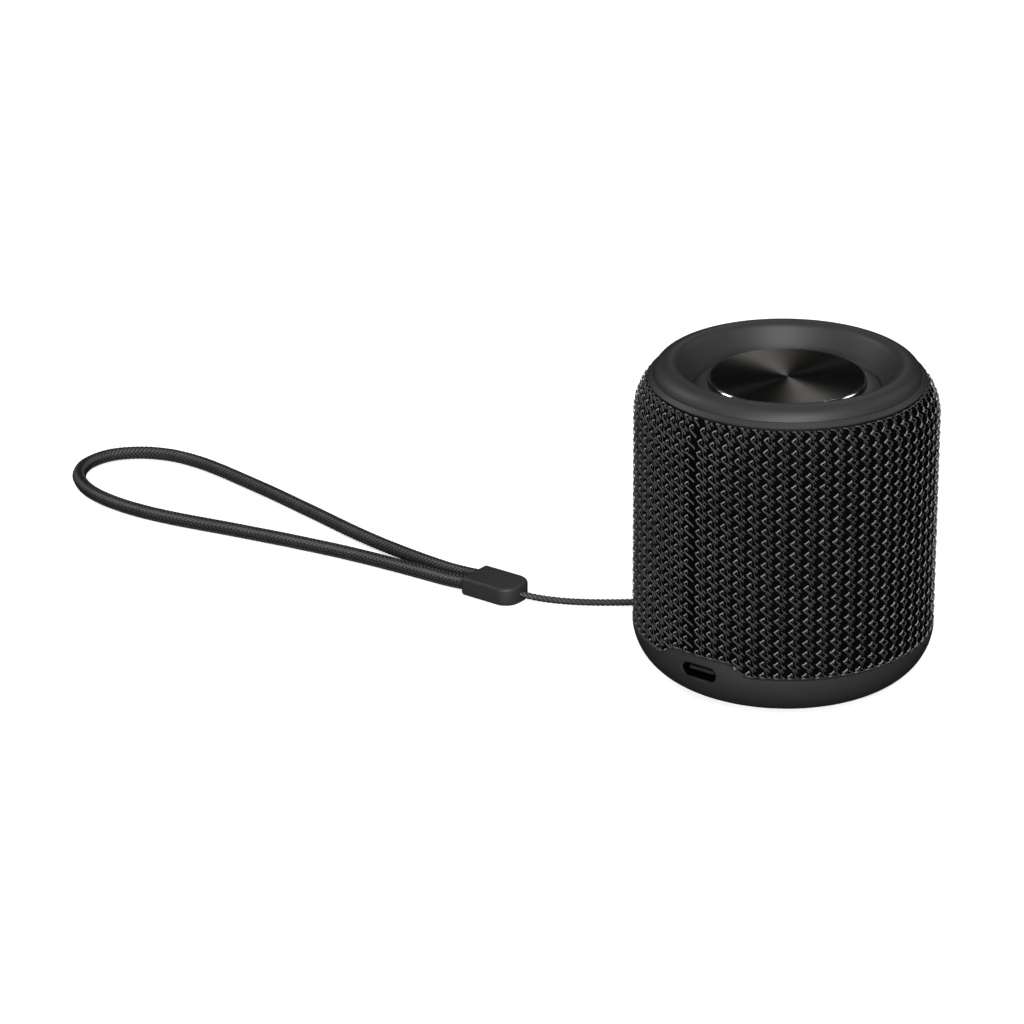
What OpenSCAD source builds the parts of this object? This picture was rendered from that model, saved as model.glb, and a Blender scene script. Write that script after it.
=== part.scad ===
// Portable waterproof speaker with a wrist strap: a fabric-covered cylinder with a
// passive radiator in the bowl of its top and a down-firing driver inside.
// Millimetres, +Z up, origin at the centre of the base, charging port facing -Y.

/* [Body] */
// Outer diameter of the fabric and of the bottom shell
body_d = 68; // [66:0.5:72]
// Height of the crest of the top ring above the table
body_h = 73.4; // [73:0.1:75]
// Radius of the rounded edge round the top and round the bottom
edge_r = 12; // [11.5:0.1:12.5]
// Height of the bottom shell's edge, where the fabric begins
hem_z = 11.4; // [11:0.1:12]
// Height at which the fabric ends under the top ring
cuff_z = 69.4; // [69:0.1:69.6]
// Thickness of the spacer fabric
fabric_t = 1.2; // [1:0.1:1.3]
// How far the foot pad stands out below the bottom shell
foot_lift = 0.4; // [0.3:0.1:0.6]

/* [Top] */
// Diameter of the spun metal plate on the passive radiator
plate_d = 35.1; // [34:0.1:36]
// Height of the plate's top face
plate_z = 69.8; // [69.4:0.1:70]
// Radius of the crest of the top ring
crest_r = 26; // [25.8:0.1:26.2]
// Radius of the bottom of the bowl, where the radiator's surround starts
bowl_r = 20.9; // [20.7:0.1:21.1]

/* [Charging port] */
// Height of the middle of the USB-C socket
port_z = 10.4; // [10.2:0.1:10.6]
// How far the bottom shell's edge rises over the port
hump_h = 2.8; // [2:0.1:3]
// Half width of the hump at its foot
hump_foot = 12.5; // [12:0.1:13]
// Half width of the hump's flat crest
hump_crest = 6; // [5:0.1:7]

/* [Driver] */
// Diameter of the driver's mounting flange
driver_d = 48.8; // [48.4:0.1:49.2]
// Height of the baffle's top face, which the driver stands on
baffle_z = 38.6; // [38.6:0.1:38.8]

/* [Keys] */
// Height of the middle key above the table
key_z = 49.6; // [49.4:0.1:49.8]
// Distance from one key to the next
key_pitch = 7.6; // [7.5:0.1:7.7]
// Diameter of a key
key_d = 6.4; // [6:0.1:6.5]

/* [Strap] */
// Diameter of the thin braided cord between the speaker and the connector
cord_d = 1.5; // [1.4:0.1:1.6]
// Diameter of the thick braided wrist loop
loop_d = 3.3; // [3.1:0.1:3.4]
// Length of the moulded connector
slider_l = 14.4; // [14:0.1:15]
// Width of the moulded connector
slider_w = 9.8; // [9.6:0.1:10.2]
// Height of the moulded connector
slider_h = 4.5; // [4.4:0.1:5]

/* [Hidden] */
$fn = 72;
step = 6;                          // degrees between points of a computed arc
body_r = body_d/2;
round_r = body_r - edge_r;         // radius at which the rounded edges are centred
low_z = foot_lift + edge_r;        // height of the centre of the lower rounded edge
high_z = 61.8;                     // height of the centre of the upper rounded edge
shell_t = 2;                       // wall of the bottom shell
core_r = body_r - fabric_t - 0.2;  // outer radius of the frame and cabinet under the fabric
cabinet_t = 2;                     // wall of the cabinet
frame_z = 15.8;                    // shoulder of the grille frame on the bottom shell
cabinet_z = 36;                    // joint between the grille frame and the cabinet
rim_z = 64.4;                      // top rim of the cabinet
deck_z = 22.6;                     // underside of the deck
board_z = 7.1;                     // underside of the main board
board_top = board_z + 1.6;
board_r = 29.5;
baffle_hole_r = 19.4;
gland_z = 5;                       // height of the strap's exit from the bottom shell
base_screws_xy = [for (x = [-12, 12], y = [-15.3, 15.3]) [x, y]];
board_screws_xy = [for (x = [-22, 22], y = [-12, 12]) [x, y]];
slider_x = -67.8;                  // tip of the connector
slider_y = -7.7;                   // middle line of the connector
strand_dy = 2.5;                   // each end of the loop from that line
strand_z = 2.2;                    // height of the cords in the connector
key_zs = [key_z + key_pitch, key_z, key_z - key_pitch];

// Route of the thin cord, from its stop inside the bottom shell to the connector
cord_route = [
    [0, 28.6, 5], [0, 32, 5], [0, 35, 4.9], [-0.8, 38, 4.4], [-2.8, 40.2, 3.6], [-6, 41, 2.6],
    [-10, 40.2, 1.6], [-14, 38.2, 1], [-18, 35.2, 0.8], [-22, 31.8, 0.8], [-26, 28, 0.8],
    [-29.5, 24, 0.8], [-33, 19.8, 0.8], [-37, 15, 0.8], [-41.2, 10.6, 0.8], [-46, 6.3, 0.8],
    [-50, 3.2, 0.8], [-54, 0.4, 0.8], [-58, -2.2, 0.9], [-61.2, -4.3, 1.2], [-63.8, -6.2, 1.7],
    [-66, -7.4, 2.1], [-67.8, -7.7, 2.2], [-70, -7.7, 2.2]];
// Route of the wrist loop, out of the connector and back into it
loop_route = [
    [-80, -10.2, 2.2], [-82.2, -10.2, 2.2], [-88, -10.3, 1.8], [-96, -10.4, 1.65],
    [-104, -10.8, 1.65], [-112, -11.4, 1.65], [-119.5, -12.2, 1.65], [-127, -13.3, 1.65],
    [-134.5, -14.5, 1.65], [-142, -15.9, 1.65], [-150, -17.4, 1.65], [-158, -19.1, 1.65],
    [-165.5, -20.5, 1.65], [-173, -21.4, 1.65], [-181, -21.5, 1.65], [-189, -20.4, 1.65],
    [-196, -17.8, 1.65], [-202, -13, 1.65], [-205.3, -6, 1.65], [-204.2, 1.5, 1.65],
    [-199, 7.2, 1.65], [-192, 10.2, 1.65], [-184, 10.8, 1.65], [-176.5, 10.1, 1.65],
    [-169, 8.8, 1.65], [-161, 7.3, 1.65], [-153.5, 5.8, 1.65], [-146, 4.1, 1.65],
    [-138, 2.3, 1.65], [-130.5, 0.5, 1.65], [-123, -1.2, 1.65], [-115, -2.7, 1.65],
    [-107.5, -3.8, 1.65], [-100, -4.6, 1.65], [-92, -5.1, 1.65], [-86, -5.2, 1.9],
    [-82.2, -5.2, 2.2], [-80, -5.2, 2.2]];

charcoal = [0.19, 0.19, 0.20];
graphite = [0.26, 0.26, 0.27];
black = [0.06, 0.06, 0.06];
steel = [0.72, 0.72, 0.74];
board_green = [0.05, 0.24, 0.12];

// ---- outlines and helpers ----

// Points of an arc about [cx, cy] from angle a0 to a1
function arc(cx, cy, rx, ry, a0, a1, s = step) =
    let (n = ceil(abs(a1 - a0)/s))
    [for (i = [0:n]) let (a = a0 + (a1 - a0)*i/n) [cx + rx*cos(a), cy + ry*sin(a)]];

// Radius of the body at a height on its lower rounded edge
function low_r(z) = z < low_z ? round_r + sqrt(pow(edge_r, 2) - pow(low_z - z, 2)) : body_r;

// Angle on a rounded edge whose point lies at a height
function edge_angle(z, centre, r) = asin(max(-1, min(1, (z - centre)/r)));

// Half section of the body's outline, moved in by a distance, between two heights
function body_points(inset, z0, z1) =
    let (r = edge_r - inset,
         a0 = edge_angle(z0, low_z, r), a1 = edge_angle(z1, high_z, r))
    concat([[0, z0]],
        z0 < low_z ? arc(round_r, low_z, r, r, a0, 0, 2.5) : [[body_r - inset, z0]],
        z1 > high_z ? arc(round_r, high_z, r, r, 0, a1, 2.5) : [[body_r - inset, z1]],
        [[0, z1]]);

module body_solid(inset, z0, z1) rotate_extrude() polygon(body_points(inset, z0, z1));

// Ring with a rectangular section
module ring(r0, r1, z0, z1) rotate_extrude() translate([r0, z0]) square([r1 - r0, z1 - z0]);

// Oblong with round ends, its long side along x
module oblong(w, h) {
    square([w - h, h], center = true);
    for (s = [-1, 1]) translate([s*(w - h)/2, 0]) circle(d = h);
}

// Prism along y from y0 to y1 of a shape drawn in the x-z plane
module along_y(y0, y1) translate([0, y1, 0]) rotate([90, 0, 0]) linear_extrude(y1 - y0) children();

// Solid cylinder along y
module rod_y(r, y0, y1, z, x = 0) translate([x, y0, z]) rotate([-90, 0, 0]) cylinder(r = r, h = y1 - y0);

module post(xy, r, z0, z1) translate([xy[0], xy[1], z0]) cylinder(r = r, h = z1 - z0);

// Screw with a pan head, standing on its tip at the origin
module screw(shank_r, length, head_r, head_h) {
    cylinder(r = shank_r, h = length + 0.01);
    difference() {
        translate([0, 0, length]) cylinder(r = head_r, h = head_h);
        for (a = [0, 90]) rotate(a)
            translate([-head_r*0.55, -head_r*0.12, length + head_h*0.4])
                cube([head_r*1.1, head_r*0.24, head_h]);
    }
}

function unit(v) = v/norm(v);

// Round tube swept along the points of a route
module tube(route, r, ref = [0, 0, 1], sides = 8) {
    n = len(route);
    rings = [for (i = [0:n - 1])
        let (t = unit(route[min(i + 1, n - 1)] - route[max(i - 1, 0)]),
             s = unit(cross(ref, t)), u = cross(t, s))
        for (k = [0:sides - 1]) let (a = 360*(k + 0.5)/sides)
            route[i] + r*(cos(a)*s + sin(a)*u)];
    sides_faces = [for (i = [0:n - 2], k = [0:sides - 1])
        let (j = (k + 1)%sides)
        each [[i*sides + k, (i + 1)*sides + k, (i + 1)*sides + j],
              [i*sides + k, (i + 1)*sides + j, i*sides + j]]];
    polyhedron(rings, concat([[for (k = [0:sides - 1]) k]], sides_faces,
        [[for (k = [sides - 1:-1:0]) (n - 1)*sides + k]]));
}

// ---- housing ----

// Height of the bottom shell's edge above a point across the front
function hump_z(x) = let (t = max(0, min(1, (abs(x) - hump_crest)/(hump_foot - hump_crest))))
    hem_z + hump_h*(1 + cos(180*t))/2;

// Prism under the hump over the port
module hump_prism() along_y(-body_r - 2, -15)
    polygon(concat([[-hump_foot, hem_z - 3]], [for (x = [-hump_foot:0.5:hump_foot]) [x, hump_z(x)]],
        [[hump_foot, hem_z - 3]]));

module bottom_shell() color(graphite) difference() {
    union() {
        difference() {
            body_solid(0, foot_lift, hem_z + hump_h + 0.2);
            body_solid(shell_t, foot_lift + 2.4, hem_z - 1.4);
            translate([0, 0, hem_z - 1.5]) cylinder(r = 31.2, h = 10);
        }
        ring(31.2, 32.6, hem_z - 2, frame_z - 0.8);
        // flat seat for the port's seal
        intersection() {
            body_solid(0.5, 3, 14.5);
            translate([-8, -34, 5.6]) cube([16, 4, 7.1]);
        }
        for (p = base_screws_xy) post(p, 2.7, foot_lift + 2, 13);
        for (p = board_screws_xy) post(p, 2.5, foot_lift + 2, board_z);
        // boss for the strap's gland
        intersection() {
            body_solid(0.5, foot_lift + 1, 8);
            rod_y(3.4, 29.6, 33, gland_z);
        }
    }
    // step for the fabric, left standing under the hump
    difference() {
        ring(32.6, body_r + 2, hem_z, 20);
        hump_prism();
    }
    // seat for the foot pad
    translate([0, 0, foot_lift - 1]) cylinder(r = 21.8, h = 2);
    for (p = base_screws_xy) {
        post(p, 1.3, foot_lift, 20);
        post(p, 2.2, foot_lift, foot_lift + 2.8);
    }
    for (p = board_screws_xy) post(p, 0.9, foot_lift + 3, board_z + 1);
    along_y(-40, -25) translate([0, port_z]) oblong(9.1, 3.42);
    // countersunk lip round the port
    along_y(-40, -33.3) translate([0, port_z]) oblong(10.3, 4.6);
    rod_y(2.2, 29.6, 40, gland_z);
    rod_y(1.8, 24, 30, gland_z);
}

module foot_pad() color(black) difference() {
    union() {
        ring(0, 21.6, 0.4, foot_lift + 1);
        ring(18.5, 21.2, 0, 0.8);
        ring(0, 14, 0, 0.8);
    }
}

module base_screws() color(steel) for (p = base_screws_xy)
    translate([p[0], p[1], 21]) rotate([180, 0, 0]) screw(1.2, 17.8, 2, 1.6);

module base_gasket() color(black) ring(31.3, 32.5, frame_z - 0.8, frame_z);

module grille_frame() color(charcoal) difference() {
    union() {
        rotate_extrude() polygon([
            [29.4, 12.8], [31.0, 12.8], [31.0, frame_z], [core_r, frame_z],
            [core_r, cabinet_z], [30.9, cabinet_z], [30.9, 17.5], [29.4, 17.5]]);
        translate([0, 0, deck_z]) cylinder(r = 31.4, h = 2);
        // reflector cone under the driver
        translate([0, 0, deck_z + 2])
            rotate_extrude() polygon(concat([[0, -0.5], [15, -0.5], [15, 0]],
                [for (t = [0.1:0.1:0.9]) [15*(1 - t), 7*t*t]], [[0, 7]]));
        for (p = base_screws_xy) post(p, 2.7, 13.1, deck_z + 0.5);
    }
    // slots that let the sound out behind the fabric
    for (a = [0:15:345]) rotate(a + 7.5) translate([28, -2.6, 25.4]) cube([6, 5.2, 8.6]);
    for (p = base_screws_xy) post(p, 1.25, 12, 22);
    translate([-3.2, 28.2, 20]) cube([6.4, 1.2, 8]);
    post([27.4, 0], 2, 20, 28);
}

// Section of the cabinet's outside, which carries the fabric
module cabinet() color(charcoal) difference() {
    union() {
        difference() {
            body_solid(fabric_t + 0.2, cabinet_z, rim_z);
            body_solid(fabric_t + 0.2 + cabinet_t, baffle_z, rim_z + 1);
            translate([0, 0, baffle_z - 6]) cylinder(r = baffle_hole_r, h = 10);
        }
        // pocket wall for the keys
        intersection() {
            cylinder(r = 31.6, h = 64);
            translate([-8, 26, cabinet_z]) cube([16, 8, 26.5]);
        }
        for (a = [45:90:315]) rotate(a) post([28.4, 0], 2.5, 54, rim_z);
    }
    for (a = [45:90:315]) rotate(a) post([28.4, 0], 1, 56, rim_z + 1);
    for (a = [45:90:315]) rotate(a) post([22.2, 0], 1, baffle_z - 2, baffle_z + 1);
    // pocket for the bezel's flange, the switches and the ribbon
    along_y(31, 35) translate([0, key_z]) rotate(90) oblong(25.4, 11.8);
    along_y(28.2, 32) translate([0, key_z]) rotate(90) oblong(23.2, 9.2);
    translate([-3.2, 28.2, 30]) cube([6.4, 1.2, 12]);
    post([27.4, 0], 2, 34, 40);
}

module fabric_sleeve() color(black) difference() {
    rotate_extrude() difference() {
        polygon(body_points(0, hem_z, cuff_z));
        polygon(body_points(fabric_t, hem_z - 1, cuff_z + 1));
    }
    hump_prism();
    along_y(20, 40) translate([0, key_z]) rotate(90) oblong(24, 10);
}

// Soft-touch bezel round the bowl, a thin moulding with a groove above its lower band
module top_ring() color(graphite) rotate_extrude() {
    crest_z = body_h;
    polygon(concat(
        [[29.3, 66.5], [29.3, cuff_z + 0.1], [30.9, cuff_z + 0.1], [30.9, cuff_z + 0.35],
         [30.0, 70.55], [29.75, 70.55], [29.75, 70.8]],
        arc(crest_r, crest_z - 4, 4, 4, 18, 90, 4),
        arc(crest_r, crest_z - 2.5, 2.5, 2.5, 96, 146, 5),
        [[23.35, 71.4], [22.8, 70.5], [22.27, 69.6], [21.8, 68.8], [21.42, 68.1], [21.12, 67.6],
         [20.95, 67.3], [bowl_r, 67.05], [bowl_r + 2.9, 67.05],
         [25.4, 69.6]],
        arc(crest_r + 0.4, crest_z - 3.4, 1.4, 1.4, 150, 20),
        [[27.7, 66.5]]));
}

// ---- passive radiator ----

module radiator_frame() color(charcoal) difference() {
    rotate_extrude() polygon([
        [bowl_r, 62.6], [28.2, 62.6], [28.2, rim_z - 1.8], [29.8, rim_z - 1.8], [29.8, rim_z],
        [31.2, rim_z], [31.2, rim_z + 1.4], [29.2, rim_z + 2], [bowl_r, rim_z + 2]]);
    for (a = [45:90:315]) rotate(a) {
        post([28.4, 0], 1.15, 60, 70);
        post([28.4, 0], 2.7, 60, rim_z);
        post([28.4, 0], 1.9, rim_z + 1, 70);
    }
}

module radiator_screws() color(steel) for (a = [45:90:315])
    rotate(a) translate([28.4, 0, 58]) screw(0.95, rim_z + 1 - 58, 1.8, 1.1);

// Half section of the surround: a land under the top ring and a roll up to the plate
module radiator_surround() color(graphite) rotate_extrude() polygon(concat(
    [[24.4, rim_z + 2], [24.4, 67], [21.05, 67]],
    arc(17.3, 66.7, 3.6, 1.65, 6, 90),
    [[16.4, 68.35], [16.4, 67.75], [17.3, 67.75]],
    arc(17.3, 66.7, 3.1, 1.05, 90, 0),
    [[20.4, rim_z + 2]]));

module radiator_core() color(black) ring(0, 16.35, 66.2, 68.4);

// Spun plate with a cut bevel round its edge and a shallow dish
module radiator_plate() color([0.13, 0.13, 0.13]) rotate_extrude() polygon([
    [0, 68.4], [plate_d/2 - 0.1, 68.4], [plate_d/2, 68.5], [plate_d/2, plate_z - 0.45],
    [plate_d/2 - 0.5, plate_z], [0, plate_z - 0.1]]);

module radiator_weight() color(steel) difference() {
    union() {
        ring(0, 12, 63.8, 66.2);
        ring(0, 2.6, 62.6, 63.8);
    }
    for (a = [0, 90]) rotate(a) translate([-1.6, -0.3, 62.3]) cube([3.2, 0.6, 0.9]);
}

// ---- driver ----

module driver_basket() color([0.3, 0.3, 0.31]) difference() {
    rotate_extrude() polygon([
        [18.8, baffle_z + 0.6], [driver_d/2, baffle_z + 0.6], [driver_d/2, baffle_z + 1.6],
        [19.6, baffle_z + 1.6], [19.6, 44.2], [14.6, 49.2], [8.2, 49.2], [8.2, 48.2],
        [14, 48.2], [18.8, 43.6]]);
    for (a = [45:90:315]) rotate(a) post([22.2, 0], 1.2, 38, 42);
    for (a = [0:60:300]) rotate(a) translate([12, -4, 42]) cube([12, 8, 5]);
}

module driver_gasket() color(black) ring(19.6, 20.6, baffle_z, baffle_z + 0.6);

module driver_screws() color(steel) for (a = [45:90:315]) rotate(a)
    translate([22.2, 0, baffle_z - 1.8]) screw(1, 3.4, 1.9, 1.3);

module driver_surround() color(black) rotate_extrude() polygon(concat(
    [[16.3, 40.05], [16.3, 39.6]], arc(17.55, 39.6, 1.25, 1.25, 186, 354), [[18.8, 39.6], [18.8, 40]],
    [[18.45, 40]], arc(17.55, 39.6, 0.9, 0.9, 360, 180), [[16.65, 40.05]]));

module driver_cone() color([0.1, 0.1, 0.1]) rotate_extrude()
    polygon([[16.28, 39.65], [16.28, 40.05], [6.62, 46.05], [6.62, 45.55]]);

module driver_dust_cap() color(black) rotate_extrude() difference() {
    polygon(concat([[0, 54.4]], arc(0, 54.4, 11.5, 11.5, -90, -54)));
    polygon(concat([[0, 54.45]], arc(0, 54.4, 11.2, 11.2, -90, -50)));
}

module voice_coil() color([0.72, 0.4, 0.2]) {
    ring(6.4, 6.6, 45.6, 52.8);
    ring(6.6, 7, 49, 52.4);
}

// Corrugated disc that centres the voice coil, glued under the basket
module driver_spider() color([0.75, 0.6, 0.3]) rotate_extrude() {
    ripple = [for (r = [6.65:0.35:12.6]) [r, 47.55 + 0.25*sin((r - 6.65)*205)]];
    n = len(ripple);
    polygon(concat(ripple, [[13, 47.9], [13.9, 47.9], [13.9, 48.2], [12.8, 48.2]],
        [for (i = [n - 1:-1:0]) ripple[i] + [0, 0.3]]));
}

module driver_top_plate() color(steel) ring(7.4, 14, 49.2, 51.2);

module driver_magnet() color([0.2, 0.2, 0.2]) ring(9, 15, 51.2, 55.2);

module driver_yoke() color(steel) {
    ring(0, 14, 55.2, 57.2);
    ring(0, 6, 49.4, 55.2);
}

module driver_terminals() color([0.75, 0.6, 0.3]) {
    translate([21, -3.5, baffle_z + 1.6]) cube([0.8, 7, 4.6]);
    for (y = [-2, 2]) translate([21.8, y - 0.8, baffle_z + 3]) cube([0.4, 1.6, 3]);
}

// Two wires from the driver down to the board
module driver_leads() color([0.7, 0.1, 0.1]) for (s = [-1, 1])
    tube([[22.3, s*2, 43.4], [23.6, s*1.9, 43.6], [25.4, s*1.5, 43], [26.8, s*1, 41.6],
          [27.4, s*0.9, 39.6], [27.4, s*0.9, 35.5], [27.4, s*0.9, 30], [27.4, s*0.9, 25],
          [27.4, s*0.9, 22], [27.2, s*0.9, 16], [26, s*0.9, 13], [26, s*0.9, 11.3]],
         0.5, [0, 1, 0]);

module lead_grommet() color(black) difference() {
    union() {
        post([27.4, 0], 2, 36, 38.6);
        post([27.4, 0], 2.6, 38.6, 39.2);
    }
    for (s = [-1, 1]) post([27.4, s*0.9], 0.55, 35, 40);
}

// ---- electronics ----

module main_board() color(board_green) difference() {
    translate([0, 0, board_z]) cylinder(r = board_r, h = 1.6);
    for (p = base_screws_xy) post(p, 3.1, 5, 10);
    for (p = board_screws_xy) post(p, 1.15, 5, 10);
}

module board_screws() color(steel) for (p = board_screws_xy)
    translate([p[0], p[1], board_top - 5.2]) screw(0.9, 5.2, 1.8, 1.2);

// Amplifier, inductors, capacitors and the three connectors on the board
module board_parts() color([0.1, 0.1, 0.12]) translate([0, 0, board_top]) {
    translate([4, 5, 0]) cube([6, 6, 1]);
    translate([-3, 4, 0]) cube([4.5, 4.5, 0.9]);
    for (x = [-2, 5]) translate([x, -9, 0]) cube([5, 5, 2.6]);
    for (x = [14, 18]) translate([x, -4, 0]) cylinder(d = 3.4, h = 3);
    translate([24, -3, 0]) cube([4, 6, 2.5]);
    translate([24.2, 4, 0]) cube([3.6, 5.6, 2.4]);
    translate([-3.6, 25.2, 0]) cube([7.2, 3.2, 1.2]);
}

module wireless_module() color(steel) {
    translate([-24, -7, board_top]) cube([13, 14, 0.6]);
    translate([-21, -6, board_top + 0.6]) cube([9.4, 12, 1.4]);
}

module usb_shell() color(steel) difference() {
    along_y(-33, -25.6) translate([0, port_z]) oblong(8.94, 3.26);
    along_y(-34, -26.2) translate([0, port_z]) oblong(8.34, 2.66);
}

module usb_tongue() color(black) {
    translate([-3.33, -31.9, port_z - 0.35]) cube([6.66, 5.7, 0.7]);
    translate([-3.6, -27.2, port_z - 1]) cube([7.2, 1, 2]);
}

module usb_seal() color(black) difference() {
    along_y(-30, -29) translate([0, port_z]) oblong(10.8, 4.6);
    along_y(-31, -28) translate([0, port_z]) oblong(8.94, 3.26);
    translate([-10, -31, 0]) cube([20, 4, board_top]);
}

module battery_cell() color([0.2, 0.35, 0.6]) translate([-23.5, -10.5, 14.4]) cube([47, 21, 7.6]);

module battery_tray() color(black) difference() {
    translate([-25, -12, 13.2]) cube([50, 24, 9]);
    translate([-23.8, -10.8, 14.4]) cube([47.6, 21.6, 10]);
    for (x = [-14, 0, 14]) translate([x - 4, -6, 12]) cube([8, 12, 3]);
    translate([22, 3, 15]) cube([5, 5, 10]);
}

module battery_foam() color([0.3, 0.3, 0.3]) translate([-20, -8, 22]) cube([40, 16, 0.6]);

// Two wires from the cell down to the board
module battery_leads() color([0.7, 0.1, 0.1]) for (y = [4.6, 6.6])
    tube([[23.6, y, 18.3], [25.4, y, 18.2], [26.8, y, 16.8], [27, y + 0.2, 14.6],
          [26, y + 0.4, 12.8], [26, y + 0.4, 11.2]], 0.5, [0, 1, 0]);

// ---- keys ----

module key_bezel() color(charcoal) difference() {
    union() {
        intersection() {
            translate([0, 0, 30]) cylinder(r = body_r + 0.5, h = 40, $fn = 240);
            along_y(31.1, 36) translate([0, key_z]) rotate(90) oblong(23.8, 9.8);
        }
        intersection() {
            translate([0, 0, 30]) cylinder(r = 32.7, h = 40, $fn = 240);
            along_y(31.1, 32.4) translate([0, key_z]) rotate(90) oblong(25.2, 11.6);
        }
    }
    along_y(30, 33.1) translate([0, key_z]) rotate(90) oblong(22.8, 8.2);
    for (z = key_zs) rod_y(key_d/2 + 0.2, 30, 40, z);
}

module switch_board() color(board_green)
    along_y(28.9, 29.7) translate([0, key_z]) square([7, 19.2], center = true);

module switch_housings() color([0.1, 0.1, 0.1]) for (z = key_zs) difference() {
    along_y(29.7, 30.9) translate([0, z]) square([4, 3], center = true);
    rod_y(0.9, 30.1, 32, z);
}

// Flat cable from the switches, through the baffle and the deck, to the board
module key_ribbon() color([0.6, 0.45, 0.2]) translate([-2.5, 0, 0]) rotate([90, 0, 90])
    linear_extrude(5) polygon([[28.6, 44], [28.9, 44], [28.9, 10.2], [28, 9.9], [28, 10.2], [28.6, 10.5]]);

// Cap with a flange behind the bezel and a post that meets the switch
module key_cap(z) {
    rod_y(key_d/2, 32.8, body_r + 0.9, z);
    rod_y(key_d/2 + 0.5, 32.2, 32.9, z);
    rod_y(1.2, 31.5, 32.3, z);
}

module key_plus() color(black) difference() {
    key_cap(key_zs[0]);
    for (w = [[2.6, 0.5], [0.5, 2.6]]) along_y(body_r + 0.6, body_r + 2)
        translate([0, key_zs[0]]) square(w, center = true);
}

module key_play() color(black) difference() {
    key_cap(key_zs[1]);
    along_y(body_r + 0.6, body_r + 2) translate([0, key_zs[1]])
        polygon([[-1.2, 0], [0.9, -1.3], [0.9, 1.3]]);
}

module key_minus() color(black) difference() {
    key_cap(key_zs[2]);
    along_y(body_r + 0.6, body_r + 2) translate([0, key_zs[2]]) square([2.6, 0.5], center = true);
}

module plunger(z) color([0.6, 0.5, 0.3]) rod_y(0.8, 30.5, 31.5, z);
module plunger_plus() plunger(key_zs[0]);
module plunger_play() plunger(key_zs[1]);
module plunger_minus() plunger(key_zs[2]);

// ---- strap ----

module strap_gland() color(black) difference() {
    union() {
        rod_y(2.15, 29.6, 31.2, gland_z);
        rod_y(1.75, 28.7, 29.6, gland_z);
    }
    rod_y(cord_d/2 + 0.1, 28, 40, gland_z);
}

module strap_stop() color(steel) rod_y(1.6, 26.2, 28.6, gland_z);

module thin_cord() color(charcoal) tube(cord_route, cord_d/2);

// Flat moulding, square at the loop's end and rounded towards the thin cord
module strap_connector() color(graphite) difference() {
    translate([slider_x - slider_l, slider_y, 0]) union() {
        for (s = [[0, 0.6], [0.6, 0]]) translate([0, 0, s[0]])
            linear_extrude(slider_h - 2*s[0]) connector_outline(s[1]);
    }
    for (y = [-strand_dy, strand_dy]) translate([slider_x - slider_l - 1, slider_y + y, strand_z])
        rotate([0, 90, 0]) cylinder(d = loop_d + 0.1, h = 3.2);
    translate([slider_x - 2.2, slider_y, strand_z]) rotate([0, 90, 0]) cylinder(d = cord_d + 0.2, h = 4);
}

// Outline of the connector, moved in by a distance
module connector_outline(inset) {
    w = slider_w/2 - inset;
    nose_r = 4 - inset;
    polygon(concat([[inset, -w], [slider_l - inset - nose_r, -w]],
        arc(slider_l - inset - nose_r, -w + nose_r, nose_r, nose_r, -84, 0),
        arc(slider_l - inset - nose_r, w - nose_r, nose_r, nose_r, 0, 90),
        [[inset, w]]));
}

module wrist_loop() color(charcoal) tube(loop_route, loop_d/2);

bottom_shell();
foot_pad();
base_screws();
base_gasket();
grille_frame();
cabinet();
fabric_sleeve();
top_ring();
radiator_frame();
radiator_screws();
radiator_surround();
radiator_core();
radiator_plate();
radiator_weight();
driver_basket();
driver_gasket();
driver_screws();
driver_surround();
driver_cone();
driver_dust_cap();
voice_coil();
driver_spider();
driver_top_plate();
driver_magnet();
driver_yoke();
driver_terminals();
driver_leads();
lead_grommet();
main_board();
board_screws();
board_parts();
wireless_module();
usb_shell();
usb_tongue();
usb_seal();
battery_cell();
battery_tray();
battery_foam();
battery_leads();
key_bezel();
switch_board();
switch_housings();
key_ribbon();
key_plus();
key_play();
key_minus();
plunger_plus();
plunger_play();
plunger_minus();
strap_gland();
strap_stop();
thin_cord();
strap_connector();
wrist_loop();
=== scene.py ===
"""Looks of the shower speaker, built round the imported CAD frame.

Points and sizes are in millimetres, and MM turns them into the frame's metres.
"""
import math
import random

import bpy
import bmesh
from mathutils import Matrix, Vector


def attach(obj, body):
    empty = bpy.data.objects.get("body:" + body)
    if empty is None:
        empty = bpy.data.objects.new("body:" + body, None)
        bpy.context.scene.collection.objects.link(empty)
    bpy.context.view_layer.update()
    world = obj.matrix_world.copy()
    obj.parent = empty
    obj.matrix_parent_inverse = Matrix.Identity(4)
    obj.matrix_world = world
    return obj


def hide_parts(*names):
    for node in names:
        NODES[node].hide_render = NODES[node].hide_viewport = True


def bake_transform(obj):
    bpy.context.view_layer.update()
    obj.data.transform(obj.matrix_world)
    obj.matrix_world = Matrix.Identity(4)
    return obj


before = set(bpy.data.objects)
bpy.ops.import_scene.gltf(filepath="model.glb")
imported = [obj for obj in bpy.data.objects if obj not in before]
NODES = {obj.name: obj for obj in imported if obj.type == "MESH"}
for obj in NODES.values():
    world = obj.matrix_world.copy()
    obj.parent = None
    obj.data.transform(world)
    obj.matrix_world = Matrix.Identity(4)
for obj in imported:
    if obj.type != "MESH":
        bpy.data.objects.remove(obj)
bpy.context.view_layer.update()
MM = 0.001
TAU = 2 * math.pi

# ---------------------------------------------------------------- camera
# Fitted to the body's outline in the photo
SENSOR_WIDTH, FOCAL_LENGTH, SHIFT_X = 36, 150.54, -0.0762
CAMERA_PLACE = (0.48241, -0.73799, 0.40941)
CAMERA_TILT, CAMERA_TURN = 67.09, 36

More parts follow.
